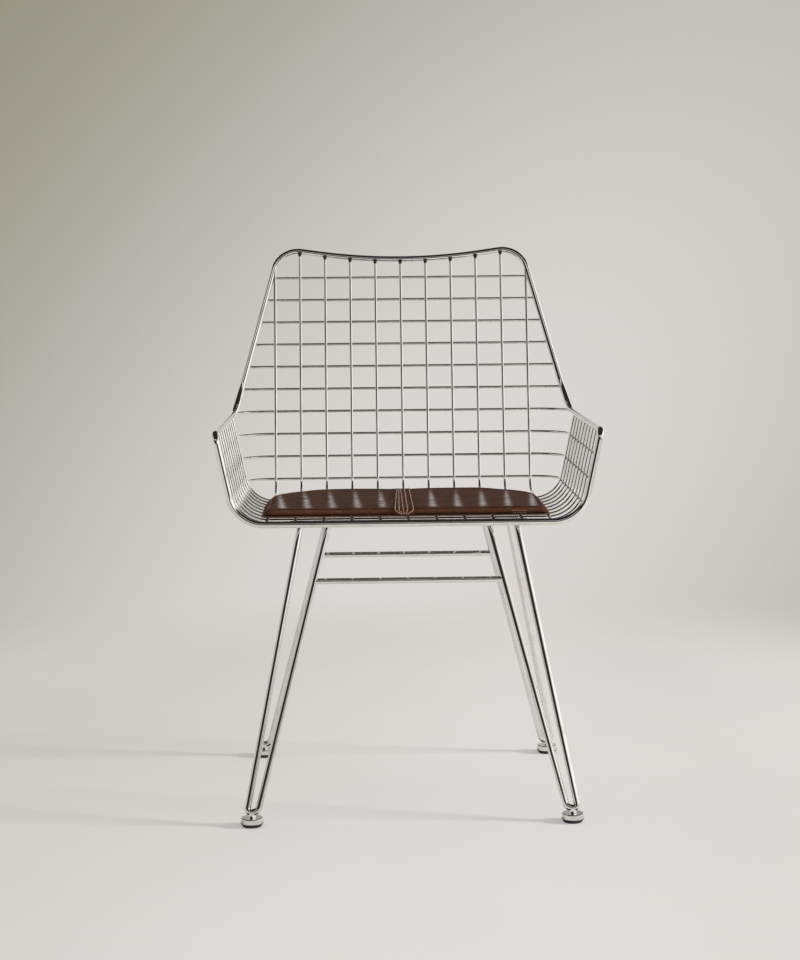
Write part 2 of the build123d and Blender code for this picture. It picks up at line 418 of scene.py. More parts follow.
@dataclass(frozen=True)
class ThreadFinish(Finish):
    """Waxed tan thread with the lay of its twisted strands."""

    name: str = "tan_thread"
    light: Colour = (0.40, 0.27, 0.19)
    dark: Colour = (0.22, 0.12, 0.075)
    strand_scale: float = 420.0
    strand_depth: float = 0.0002
    dirt_per_metre: float = 90.0
    dirt_range: Span = (0.35, 0.8)
    dirt_share: float = 0.6
    roughness: float = 0.62

    def sockets(self, graph: ShaderGraph) -> Inputs:
        """Slanting strands and a little dirt.

        Args:
            graph: The material's graph.

        Returns:
            The shader's sockets.
        """
        place = graph.place()
        lay = {"Vector": place, "Scale": self.strand_scale, "Distortion": 0.6}
        strands = graph.node("ShaderNodeTexWave", {"bands_direction": "DIAGONAL"}, lay)
        dirt = graph.noise(place, self.dirt_per_metre, detail=3.0).ramp(*self.dirt_range)
        return {
            "Base Color": graph.mix(dirt * self.dirt_share, self.light, self.dark),
            "Roughness": self.roughness,
            "Normal": graph.bump(strands, self.strand_depth, strength=0.6),
        }


@dataclass(frozen=True)
class FloorFinish(Finish):
    """Pale matt studio floor that thins out into the backdrop."""

    name: str = "studio_floor"
    pale: Colour = (0.735, 0.715, 0.69)
    grey: Colour = (0.69, 0.675, 0.65)
    clouds_per_metre: float = 1.3
    cloud_range: Span = (0.3, 0.7)
    roughness: float = 0.85
    lit_share: float = 0.55
    glow: Colour = (0.336, 0.331, 0.325)
    left_glow: Colour = (0.280, 0.266, 0.245)
    left_fade: Span = (-0.8, 0.1)
    left_slant: float = 0.4
    right_glow: Colour = (0.266, 0.262, 0.257)
    right_fade: Span = (0.1, 0.6)
    rim_fade: Span = (1.0, 1.9)

    def sockets(self, graph: ShaderGraph) -> Inputs:
        """Soft clouds of grey, lifted for the camera, clear beyond a circle round the chair.

        Args:
            graph: The material's graph.

        Returns:
            The shader's sockets.
        """
        place = graph.place()
        x, y = graph.axis(place, "X"), graph.axis(place, "Y")
        radius = graph.node("ShaderNodeVectorMath", {"operation": "LENGTH"}, {0: place}, "Value")
        clouds = graph.noise(place, self.clouds_per_metre, detail=3.0).ramp(*self.cloud_range)
        painted = graph.mix(clouds, self.pale, self.grey)
        camera = graph.node("ShaderNodeLightPath", output="Is Camera Ray")
        glow = graph.mix((x - self.left_slant * y).ramp(*self.left_fade), self.left_glow, self.glow)
        glow = graph.mix(x.ramp(*self.right_fade), glow, self.right_glow)
        return {
            "Base Color": graph.mix(camera * (1 - self.lit_share), painted, BLACK),
            "Roughness": self.roughness,
            "Specular IOR Level": 0.0,
            "Emission Color": graph.mix(camera, BLACK, glow),
            "Emission Strength": 1.0,
            "Alpha": 1 - radius.ramp(*self.rim_fade),
        }


def skinned(grid: np.ndarray, rows_closed: bool = False) -> Surface:
    """Quads between neighbouring points of a grid, whose columns close on themselves.

    Args:
        grid: Points by row and column.
        rows_closed: The last row meets the first.

    Returns:
        Vertices, row by row, and four of their numbers for each quad.
    """
    rows, columns = grid.shape[:2]
    i, j = np.meshgrid(np.arange(rows - (not rows_closed)), np.arange(columns), indexing="ij")
    after_i, after_j = (i + 1) % rows, (j + 1) % columns
    corners = [i * columns + j, i * columns + after_j, after_i * columns + after_j, after_i * columns + j]
    return grid.reshape(-1, 3), np.stack(corners, axis=-1).reshape(-1, 4)


def unit(vectors: np.ndarray) -> np.ndarray:
    """Vectors of length one in the same directions."""
    return vectors / np.maximum(np.linalg.norm(vectors, axis=-1, keepdims=True), 1e-12)


def carried(path: np.ndarray, section: np.ndarray, across: np.ndarray, closed: bool = False) -> Surface:
    """A closed section carried along a path: point + section x times side + section y times lift.

    Args:
        path: Points of the path.
        section: Points of the section, or one section for each point of the path.
        across: Direction that the section's x stays nearest to.
        closed: The path is a loop.

    Returns:
        Vertices and quads.
    """
    ahead = np.roll(path, -1, 0) - np.roll(path, 1, 0) if closed else np.gradient(path, axis=0)
    ahead = unit(ahead)
    lift = unit(np.cross(ahead, across))
    side = np.cross(lift, ahead)
    section = np.broadcast_to(section, (len(path), *np.shape(section)[-2:]))
    points = path[:, None] + section[..., :1] * side[:, None] + section[..., 1:] * lift[:, None]
    return skinned(points, closed)


def circle(sides: int) -> np.ndarray:
    """Unit circle as a section."""
    angle = np.linspace(0, 2 * pi, sides, endpoint=False)
    return np.stack([np.cos(angle), np.sin(angle)], axis=-1)


def round_ends(count: int, share: float) -> np.ndarray:
    """Factor on a section that falls to 0 at both ends as a quarter circle does.

    Args:
        count: Sections along the path.
        share: Part of the path that each rounded end takes.

    Returns:
        One factor for each section, shaped to multiply the sections.
    """
    along = np.linspace(0, 1, count)
    near = np.clip(np.minimum(along, 1 - along) / share, 0, 1)
    return np.sqrt(1 - (1 - near) ** 2)[:, None, None]


def even_path(points: np.ndarray, count: int) -> np.ndarray:
    """A path at even steps along a chain of points, by linear steps over its length.

    Args:
        points: The chain.
        count: Points wanted.

    Returns:
        The path.
    """
    steps = np.linalg.norm(np.diff(points, axis=0), axis=1)
    along = np.concatenate([[0.0], np.cumsum(steps)])
    even = np.linspace(0, along[-1], count)
    return np.stack([np.interp(even, along, points[:, k]) for k in range(points.shape[1])], axis=-1)


def smoothed(values: np.ndarray, reach: int, ends: str) -> np.ndarray:
    """Running mean over so many values to each side, where "edge" holds the ends and "wrap" joins them."""
    width = 2 * reach + 1
    return np.convolve(np.pad(values, reach, mode=ends), np.ones(width) / width, mode="valid")


def rippled(run: np.ndarray, step: float, sway: float, sway_step: float) -> np.ndarray:
    """Uneven waves: sine of the run over a step, with a phase that itself sways as a slower sine."""
    return np.sin(run / step + sway * np.sin(run / sway_step))


def joined(surfaces: list[Surface]) -> Surface:
    """Several surfaces as one.

    Args:
        surfaces: Vertices and quads of each.

    Returns:
        All vertices, and the quads with their numbers moved on.
    """
    starts = np.cumsum([0] + [len(vertices) for vertices, _ in surfaces[:-1]])
    faces = [quads + start for (_, quads), start in zip(surfaces, starts)]
    return np.concatenate([vertices for vertices, _ in surfaces]), np.concatenate(faces)


def mesh_object(name: str, surface: Surface, finish: Finish) -> bpy.types.Object:
    """A smooth mesh object at the origin, with its poles merged and its faces outwards.

    Args:
        name: The piece's name.
        surface: Vertices and quads.
        finish: Its finish.

    Returns:
        The object, in the scene.
    """
    mesh = bpy.data.meshes.new(name)
    mesh.from_pydata(surface[0].tolist(), [], surface[1].tolist())
    shape = bmesh.new()
    shape.from_mesh(mesh)
    bmesh.ops.remove_doubles(shape, verts=shape.verts, dist=1e-6)
    bmesh.ops.recalc_face_normals(shape, faces=shape.faces)
    shape.to_mesh(mesh)
    shape.free()
    mesh.polygons.foreach_set("use_smooth", np.ones(len(mesh.polygons), dtype=bool))
    mesh.materials.append(finish.material())
    piece = bpy.data.objects.new(name, mesh)
    bpy.context.scene.collection.objects.link(piece)
    return piece


def vertices_of(mesh: bpy.types.Mesh) -> np.ndarray:
    """A mesh's vertices as an array.

    Args:
        mesh: The mesh.

    Returns:
        One row for each vertex.
    """
    flat = np.empty(len(mesh.vertices) * 3, dtype=np.float32)
    mesh.vertices.foreach_get("co", flat)
    return flat.reshape(-1, 3).astype(float)


def dress_nodes(prefixes: tuple[str, ...], finish: Finish) -> None:
    """Gives one finish to all CAD nodes whose names start with one of the prefixes.

    Args:
        prefixes: Starts of the nodes' names.
        finish: Their finish.
    """
    material = finish.material()
    chosen = [piece for name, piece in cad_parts.items() if name.startswith(prefixes)]
    for piece in chosen:
        for place in piece.material_slots:
            place.material = material
    LOG.info("%s on %d nodes", finish.name, len(chosen))


class Metal(Enum):
    """Where chrome is used on the chair."""

    ROD = ("chrome_rod", ("rim", "leg_", "stretcher_", "seat_bearer_"))
    WIRE = ("chrome_wire", ("long_wire_", "hoop_wire_", "back_wire_", "kink_wire", "wrap_wire_"))
    FOOT = ("chrome_foot", ("foot_neck_", "glide_disc_"))


@dataclass
class WeldedFrame:
    """Rim, grid wires, legs and feet: CAD solids that get their plating here."""

    wire_smears: float = 55.0
    foot_smear: float = 0.12
    foot_bright: Colour = (0.84, 0.835, 0.82)

    def dress(self) -> None:
        """Plates the stock, wires and feet a little differently, and blackens the glide bases."""
        changes = {
            Metal.WIRE: {"smears_per_metre": self.wire_smears},
            Metal.FOOT: {"smear": self.foot_smear, "bright": self.foot_bright},
        }
        for metal in Metal:
            name, prefixes = metal.value
            dress_nodes(prefixes, ChromeFinish(name, **changes.get(metal, {})))
        dress_nodes(("glide_base_",), GlidePlasticFinish())


@dataclass
class WeldBeads:
    """Weld metal round the tops of the inner long wires, where they meet the top rail."""

    wire_radius: float = 0.0023
    foot_radius: float = 0.0046
    length: float = 0.008
    hollow: float = 2.2
    rings: int = 9
    sides: int = 16
    # The beads' near-black colours are painted shade: they stand in for the dark that the beads reflect.
    bright: Colour = (0.06, 0.058, 0.054)
    dull: Colour = (0.03, 0.028, 0.026)
    polish: float = 0.22

    def bead(self, name: str, lean: np.ndarray) -> Surface:
        """One bead: circles about the wire's axis, as wide as the wire plus a falling power of the way down.

        Args:
            name: The long wire's node.
            lean: Direction of the wire's upper end.

        Returns:
            Vertices and quads.
        """
        low, high = np.array(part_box(name))
        tip = np.array([(low[0] + high[0]) / 2, high[1] - self.wire_radius * lean[2], high[2]])
        down = np.linspace(0, 1, self.rings)
        path = tip - np.outer(down, lean) * self.length
        radius = self.wire_radius + (self.foot_radius - self.wire_radius) * (1 - down) ** self.hollow
        radius[[0, -1]] = 0.0
        return carried(path, circle(self.sides) * radius[:, None, None], RIGHT)

    def build(self) -> None:
        """Makes the beads as one piece of the frame."""
        top, foot = (np.mean(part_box(name), axis=0) for name in ("back_wire_01", "back_wire_06"))
        lean = unit((top - foot) * (0, 1, 1))
        wires = sorted(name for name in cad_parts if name.startswith("long_wire_"))[1:-1]
        beads = joined([self.bead(name, lean) for name in wires])
        finish = ChromeFinish("weld_metal", bright=self.bright, dull=self.dull, polish=self.polish)
        piece = mesh_object("weld_beads", beads, finish)
        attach(piece, "frame")
        LOG.info("weld_beads: %d faces", len(piece.data.polygons))


@dataclass
class SeatPad:
    """Loose leather pad: a stuffed body with a rolled edge on a raw backing, laced across its middle."""

    body: str = "pad"
    front_radius: float = 0.014
    rear_radius: float = 0.125
    least_turn: float = 0.0005
    overhang: float = 0.006
    shift: float = 0.0025
    roll_width: float = 0.0105
    roll_fullness: float = 0.9
    roll_belly: float = 0.30
    roll_foot: float = 0.35
    roll_points: int = 8
    backing: float = 0.0018
    backing_ledge: float = 0.0012
    backing_steps: Span = (0.02, 0.1)
    body_points: int = 360
    voxel: float = 0.004
    pressure: float = 4.0
    cover_mass: float = 0.3
    cover_stiffness: float = 30.0
    cover_bending: float = 2.0
    swell: float = 0.0020
    sunk_share: float = 0.85
    frames: int = 20
    sewn_above: Span = (0.45, 0.75)
    pinch: float = 0.0012
    pinch_half_width: float = 0.010
    pucker: float = 0.00022
    gather_fade: float = 0.007
    ruck_fade: float = 0.008
    seam_depth: float = 0.0004
    seam_half_width: float = 0.0022
    welt_radius: float = 0.00075
    band_half_width: float = 0.015
    band_thickness: float = 0.0012
    lace_radius: float = 0.00075
    lace_rear: tuple[float, ...] = (-0.0063, -0.0035, -0.0004, 0.0055, 0.0128)
    lace_front: tuple[float, ...] = (-0.0140, -0.0081, -0.0018, 0.0044, 0.0133)
    lace_drawn: Span = (0.0010, 0.0095)
    knot: Triple = (0.0009, -0.0012, 0.0022)
    knot_size: Triple = (0.0011, 0.0007, 0.0006)
    knot_thread: float = 0.0007
    stitch_runs: tuple[Triple, ...] = ((0.157, 0.181, 0.0040), (0.158, 0.178, 0.0030))
    stitch_heights: Span = (0.0054, 0.0022)
    stitch_lengths: Span = (0.0038, 0.0017)
    stitch_bow: Span = (0.22, 0.003)
    stitch_radius: float = 0.00048
    pieces: list[bpy.types.Object] = field(default_factory=list)

    def __post_init__(self) -> None:
        """Takes the pad's place from its CAD solid."""
        self.low, self.high = np.array(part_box("seat_pad"))
        self.base = self.low[2] + self.backing
        self.middle = (self.low + self.high)[:2] / 2
        self.centre = self.middle + (self.shift, 0.0)
        self.half = (self.high - self.low)[:2] / 2 + (self.overhang, 0.0)

    def edge_distance(self, points: np.ndarray) -> np.ndarray:
        """Distance in plan from points to the pad's outline, positive inside.

        The outline is a rectangle with one corner radius at the front and another at the rear.

        Args:
            points: Points, of which x and y are used.

        Returns:
            One distance for each point.
        """
        offset = points[..., :2] - self.centre
        radius = np.where(offset[..., 1] > 0, self.rear_radius, self.front_radius)
        past = np.abs(offset) - self.half + radius[..., None]
        outside = np.linalg.norm(np.maximum(past, 0), axis=-1)
        return radius - outside - np.minimum(past.max(axis=-1), 0)

    def outline(self, inset: float, count: int) -> np.ndarray:
        """Points at even steps along the outline, moved inwards.

        Straight runs between four quarter circles, whose radii shrink by the inset.

        Args:
            inset: Distance inside the pad's edge.
            count: Points in the loop.

        Returns:
            x and y of each point.
        """
        quarter = np.linspace(0, pi / 2, 24)
        corners = []
        for start, sx, sy, radius in ((-pi / 2, 1, -1, self.front_radius), (0.0, 1, 1, self.rear_radius),
                                      (pi / 2, -1, 1, self.rear_radius), (pi, -1, -1, self.front_radius)):
            centre = self.centre + (self.half - radius) * (sx, sy)
            arc = max(radius - inset, self.least_turn)
            reach = np.minimum(radius - inset, 0) * np.array([sx, sy])
            turn = np.stack([np.cos(start + quarter), np.sin(start + quarter)], axis=-1)
            corners.append(centre + reach + arc * turn)
        chain = np.concatenate(corners + [corners[0][:1]])
        return even_path(chain, count + 1)[:-1]

    def ring(self, inset: float, height: float, count: int) -> np.ndarray:
        """The outline, moved inwards, at a height."""
        return np.column_stack([self.outline(inset, count), np.full(count, height)])

    def roll_profile(self) -> np.ndarray:
        """Section of the rolled edge: inset and height above the backing, from its foot to the seam.

        An ellipse's lower quarter, then the upper quarter of a squarish ellipse, with its sine and cosine
        raised to a power below 1, that ends level at the seam.

        Returns:
            Inset and height of each point, in metres.
        """
        full = self.high[2] - self.low[2] - self.backing
        belly = self.roll_belly * full
        foot = self.roll_foot * self.roll_width
        angle = np.linspace(0, pi / 2, self.roll_points)
        lower = np.stack([foot * (1 - np.sin(angle)), belly * (1 - np.cos(angle))], axis=-1)
        across, up = np.array([np.cos(angle), np.sin(angle)]).clip(0, 1) ** self.roll_fullness
        upper = np.stack([self.roll_width * (1 - across), belly + (full - belly) * up], axis=-1)
        return np.concatenate([lower, upper[1:]])

    def filled(self, ring: np.ndarray) -> np.ndarray:
        """Rings from a ring to the pad's middle at its height: middle plus a share of the ring's offset."""
        inner = np.linspace(1, 0, 12)[1:, None, None]
        return np.append(self.middle, 0.0) * (1 - inner) + ring * (inner * (1, 1, 0) + (0, 0, 1))

    def unstuffed(self) -> Surface:
        """The closed body before it is stuffed: the outline by the roll's section, and on to both middles.

        Returns:
            Vertices and quads.
        """
        profile = self.roll_profile()
        rings = [self.ring(inset, self.base + height, self.body_points) for inset, height in profile]
        return skinned(np.concatenate([self.filled(rings[0])[::-1], rings, self.filled(rings[-1])]))

    def stuff(self, piece: bpy.types.Object) -> None:
        """Stuffs the body: even voxels, then cloth under pressure with each point's way capped.

        Args:
            piece: The body, whose mesh is replaced.
        """
        remesh = piece.modifiers.new("even", "REMESH")
        remesh.mode = "VOXEL"
        remesh.voxel_size = self.voxel
        remesh.use_smooth_shade = True
        self.settle(piece)
        start = vertices_of(piece.data)
        cloth = piece.modifiers.new("stuffing", "CLOTH").settings
        cloth.quality = 6
        cloth.mass = self.cover_mass
        cloth.tension_stiffness = cloth.compression_stiffness = self.cover_stiffness
        cloth.bending_stiffness = self.cover_bending
        cloth.use_pressure = True
        cloth.uniform_pressure_force = self.pressure
        cloth.effector_weights.gravity = 0.0
        for number in range(1, self.frames + 1):
            bpy.context.scene.frame_set(number)
        self.settle(piece)
        bpy.context.scene.frame_set(1)
        moved = vertices_of(piece.data)
        way = moved - start
        length = np.linalg.norm(way, axis=1, keepdims=True)
        capped = start + way * np.minimum(1.0, self.swell / np.maximum(length, 1e-9))
        capped[:, 2] = np.maximum(capped[:, 2], self.low[2] + self.backing * self.sunk_share)
        piece.data.vertices.foreach_set("co", capped.astype(np.float32).ravel())
        finer = piece.modifiers.new("finer", "SUBSURF")
        finer.levels = finer.render_levels = 1
        self.settle(piece)

    def settle(self, piece: bpy.types.Object) -> None:
        """Replaces a piece's mesh by what its modifiers make of it.

        Args:
            piece: The piece.
        """
        graph = bpy.context.evaluated_depsgraph_get()
        mesh = bpy.data.meshes.new_from_object(piece.evaluated_get(graph))
        old = piece.data
        piece.modifiers.clear()
        piece.data = mesh
        bpy.data.meshes.remove(old)
        mesh.name = piece.name

    def sew(self, piece: bpy.types.Object) -> None:
        """Draws the seam, the laced middle and small puckers into the stuffed body's top.

        The seam is a bell-shaped groove at the roll's width from the edge, the lacing a bell-shaped
        dip across the middle, and the puckers are waves along the seam and the band that die away from them.

        Args:
            piece: The stuffed body.
        """
        points = vertices_of(piece.data)
        x, y, z = points.T
        edge = self.edge_distance(points)
        aside = np.abs(x - self.middle[0])
        share = np.clip((z - self.low[2]) / (self.high[2] - self.low[2]), 0, 1)
        first, full = self.sewn_above
        upper = np.clip((share - first) / (full - first), 0, 1)
        groove = np.exp(-((edge - self.roll_width) / self.seam_half_width) ** 2)
        dip = np.exp(-(aside / self.pinch_half_width) ** 2)
        waves = rippled(x * 0.83 + y * 0.55, 0.0021, 2.0, 0.017)
        gathers = waves * np.exp(-np.abs(edge - self.roll_width) / self.gather_fade)
        past_band = np.maximum(aside - self.band_half_width, 0)
        ruck = rippled(y, 0.0024, 3.0, 0.023) * np.exp(-past_band / self.ruck_fade)
        rise = self.pucker * (gathers + ruck) - self.seam_depth * groove - self.pinch * dip
        points[:, 2] += upper * rise
        piece.data.vertices.foreach_set("co", points.astype(np.float32).ravel())
        self.mark_edges(piece)
        piece.data.update()

    def mark_edges(self, piece: bpy.types.Object) -> None:
        """Stores each vertex's distance to the pad's edge for the leather's wear.

        Args:
            piece: A leather piece.
        """
        values = self.edge_distance(vertices_of(piece.data))
        layer = piece.data.attributes.new("edge_distance", "FLOAT", "POINT")
        layer.data.foreach_set("value", values.astype(np.float32))

    def top_height(self, plan: np.ndarray) -> np.ndarray:
        """Height of the sewn body's top at points in plan: the highest vertex close to each.

        Args:
            plan: x and y of each point.

        Returns:
            One height for each point.
        """
        points = vertices_of(self.pieces[0].data)
        near = ((points[None, :, :2] - plan[:, None]) ** 2).sum(-1) < (0.75 * self.voxel) ** 2
        return np.where(near, points[None, :, 2], self.low[2]).max(axis=1)

    def lane(self, y: np.ndarray, rear: float, front: float) -> np.ndarray:
        """x on a straight lane over the pad, from its rear edge to its front edge."""
        share = (self.high[1] - y) / (self.high[1] - self.low[1])
        return self.middle[0] + rear + (front - rear) * share

    def over_middle(self, rear: float, front: float, lift: float, count: int) -> np.ndarray:
        """A path over the pad from under its rear edge to under its front edge.

        It follows the roll's section at both ends and the sewn top between them.

        Args:
            rear: Where it starts, to the right of the pad's middle.
            front: Where it ends.
            lift: Height over the leather.
            count: Points in the path.

        Returns:
            The path.
        """
        roll = self.roll_profile()
        run = np.linspace(self.high[1] - self.roll_width, self.low[1] + self.roll_width, 60)[1:-1]
        height = self.top_height(np.column_stack([self.lane(run, rear, front), run]))
        height = smoothed(height, 2, "edge")
        drop = self.base + roll[-1, 1] - height[[0, -1]]
        ease = roll[:, 1] / roll[-1, 1]
        behind = np.column_stack([self.high[1] - roll[:, 0], self.base + roll[:, 1] - drop[0] * ease])
        before = np.column_stack([self.low[1] + roll[:, 0], self.base + roll[:, 1] - drop[1] * ease])[::-1]
        chain = np.concatenate([behind, np.column_stack([run, height]), before])
        tangent = unit(np.gradient(chain, axis=0))
        chain = chain + lift * np.column_stack([tangent[:, 1], -tangent[:, 0]])
        return even_path(np.column_stack([self.lane(chain[:, 0], rear, front), chain]), count)

    def keep(self, piece: bpy.types.Object) -> None:
        """Makes a piece ride with the pad.

        Args:
            piece: The piece.
        """
        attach(piece, self.body)
        self.pieces.append(piece)
        LOG.info("%s: %d faces", piece.name, len(piece.data.polygons))

    def build_body(self) -> None:
        """The stuffed and sewn leather body."""
        piece = mesh_object("pad_body", self.unstuffed(), StreakedLeather("pad_leather"))
        self.stuff(piece)
        self.sew(piece)
        self.keep(piece)
        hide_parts("seat_pad")

    def build_backing(self) -> None:
        """Raw backing under the body: rings of the outline with a rounded edge, closed at both middles."""
        finish = LeatherFinish("pad_backing", dark=(0.030, 0.014, 0.008), warm=(0.045, 0.020, 0.012),
                               edge_wear_and_highlight=(0.24, 0.15, 0.11), edge_width=0.005, sheen=0.62)
        count = 240
        half = self.backing / 2
        angle = np.linspace(-pi / 2, pi / 2, 7)
        near, far = self.backing_steps
        insets = np.concatenate([[far, near], half * (1 - np.cos(angle)) - self.backing_ledge, [near, far]])
        heights = np.concatenate([[-half, -half], half * np.sin(angle), [half, half]]) + self.low[2] + half
        rings = [self.ring(inset, height, count) for inset, height in zip(insets, heights)]
        ends = [np.tile([*self.middle, height], (count, 1)) for height in (heights[0], heights[-1])]
        piece = mesh_object("pad_backing", skinned(np.array([ends[0], *rings, ends[1]])), finish)
        self.mark_edges(piece)
        self.keep(piece)

    def build_welt(self) -> None:
        """Thin welt in the seam between the top and the rolled edge: a circle carried along the outline."""
        # The welt's colours, lighter than the body's leather, are a painted highlight along the top of the
        # roll.
        finish = LeatherFinish("pad_welt", dark=(0.100, 0.046, 0.026), warm=(0.125, 0.058, 0.033),
                               edge_wear_and_highlight=(0.125, 0.058, 0.036), sheen=0.33)
        plan = self.outline(self.roll_width, 420)
        height = smoothed(self.top_height(plan), 4, "wrap")
        path = np.column_stack([plan, height + 0.4 * self.welt_radius])
        piece = mesh_object("pad_welt", carried(path, circle(8) * self.welt_radius, UP, True), finish)
        self.mark_edges(piece)
        self.keep(piece)

    def build_band(self) -> None:
        """Leather band over the middle: a flat section with round edges, carried over the pad."""
        finish = LeatherFinish("band_leather", dark=(0.055, 0.018, 0.009), warm=(0.085, 0.029, 0.014),
                               edge_wear_and_highlight=(0.12, 0.040, 0.018))
        count = 120
        round_edge = circle(16) * self.band_thickness / 2
        flat = self.band_half_width - self.band_thickness / 2
        section = round_edge + np.sign(round_edge[:, :1]) * flat * (1, 0)
        path = self.over_middle(0.0, 0.0, 0.2 * self.band_thickness, count)
        piece = mesh_object("pad_band", carried(path, section * round_ends(count, 0.01), RIGHT), finish)
        self.mark_edges(piece)
        self.keep(piece)
        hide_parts("pad_centre_band")

    def build_lacing(self) -> None:
        """Tan laces over the band, circles carried over the pad and drawn together at the knot in front."""
        count = 160
        lift = 0.3 * self.band_thickness + 0.3 * self.lace_radius
        section = circle(8) * self.lace_radius * round_ends(count, 0.004)
        foot, free = self.lace_drawn
        laces = []
        for rear, front in zip(self.lace_rear, self.lace_front):
            path = self.over_middle(rear, front, lift, count)
            drawn = np.clip((self.low[2] + free - path[:, 2]) / (free - foot), 0, 1)
            drawn = drawn * (path[:, 1] < self.middle[1])
            path[:, 0] += (self.middle[0] + self.knot[0] - path[:, 0]) * drawn
            laces.append(carried(path, section, RIGHT))
        self.keep(mesh_object("pad_lacing", joined(laces), ThreadFinish()))

    def build_knot(self) -> None:
        """Knot that holds the laces: a trefoil curve, (sin t + 2 sin 2t, -sin 3t, cos t - 2 cos 2t)."""
        finish = ThreadFinish("dark_thread", light=(0.07, 0.04, 0.03), dark=(0.03, 0.015, 0.01))
        t = np.linspace(0, 2 * pi, 120, endpoint=False)
        across, up = np.sin(t) + 2 * np.sin(2 * t), np.cos(t) - 2 * np.cos(2 * t)
        loop = np.column_stack([across, -np.sin(3 * t), up])
        path = loop * self.knot_size + (self.middle[0], *self.low[1:]) + self.knot
        surface = carried(path, circle(8) * self.knot_thread, BACK, True)
        self.keep(mesh_object("pad_knot", surface, finish))

    def build_stitches(self) -> None:
        """Two rows of tan stitches near the front roll's right end: parabolic bows with round ends."""
        bow, depth = self.stitch_bow
        t = np.linspace(-1, 1, 9)
        arch = np.column_stack([t / 2, -bow * (1 - t ** 2), np.zeros_like(t)])
        section = circle(6) * self.stitch_radius * round_ends(len(t), 0.3)
        stitches = []
        for run, height, length in zip(self.stitch_runs, self.stitch_heights, self.stitch_lengths):
            front = np.interp(height, *self.roll_profile().T[::-1])
            shape, quads = carried(arch * (length, depth, length), section, UP)
            places = (1, 0, 0) * np.arange(*run)[:, None] + (0, self.low[1] + front, self.base + height)
            stitches += [(shape + place, quads) for place in places]
        piece = mesh_object("pad_stitches", joined(stitches), ThreadFinish("stitch_thread"))
        self.keep(piece)

    def build(self) -> None:
        """Makes all pieces of the pad, the body first."""
        self.build_body()
        self.build_backing()
        self.build_welt()
        self.build_band()
        self.build_lacing()
        self.build_knot()
        self.build_stitches()


@dataclass(frozen=True)
class StudioRoom:
    """What the chrome shows: pale walls and floor, bright to the right, dark in front and overhead."""

    rear_low: Colour = (0.64, 0.62, 0.60)
    rear_high: Colour = (0.20, 0.195, 0.18)
    left: Colour = (0.62, 0.605, 0.58)
    right: Colour = (1.2, 1.18, 1.15)
    dark: Colour = (0.022, 0.021, 0.020)
    ceiling: Colour = (0.025, 0.024, 0.023)
    lamp: Colour = (1.0, 0.98, 0.95)
    floor: Colour = (0.70, 0.68, 0.65)
    lit_floor: Colour = (1.05, 1.03, 1.0)

    def colour(self, graph: ShaderGraph, ray: Ray) -> Socket:
        """The walls, then dark low on the right and in front, the ceiling with its lamp, and the floor.

        Each zone covers the ones before it by smooth steps over the direction's components.

        Args:
            graph: The world's graph.
            ray: The direction's x, y and z.

        Returns:
            The colour in each direction.
        """
        x, y, z = ray
        rear = graph.mix(z.ramp(0.12, 0.6), self.rear_low, self.rear_high)
        left = graph.mix((-x).ramp(0.3, 0.8), rear, self.left)
        walls = graph.mix(x.ramp(0.15, 0.5), left, self.right)
        low_right = (-y).ramp(0.45, 0.65) * x.ramp(0.0, 0.1) * (1 - z.ramp(0.04, 0.09))
        low = graph.mix(low_right, walls, self.dark)
        front = graph.mix((-0.34 * x - 0.94 * y).ramp(0.55, 0.88), low, self.dark)
        ceiling = graph.mix((z + 0.25 * abs(y)).ramp(0.44, 0.62), front, self.ceiling)
        band = z.ramp(0.44, 0.48) * (1 - z.ramp(0.56, 0.60)) * (-y).ramp(0.6, 0.75)
        lamp = graph.mix(band, ceiling, self.lamp)
        strip = x.ramp(0.0, 0.06) * (1 - x.ramp(0.35, 0.5)) * (-y).ramp(0.6, 0.7)
        floor = graph.mix(strip, self.floor, self.lit_floor)
        horizon = (-z) - 0.03 * (-y).ramp(0.78, 0.92)
        return graph.mix(horizon.ramp(0.04, 0.10), lamp, floor)


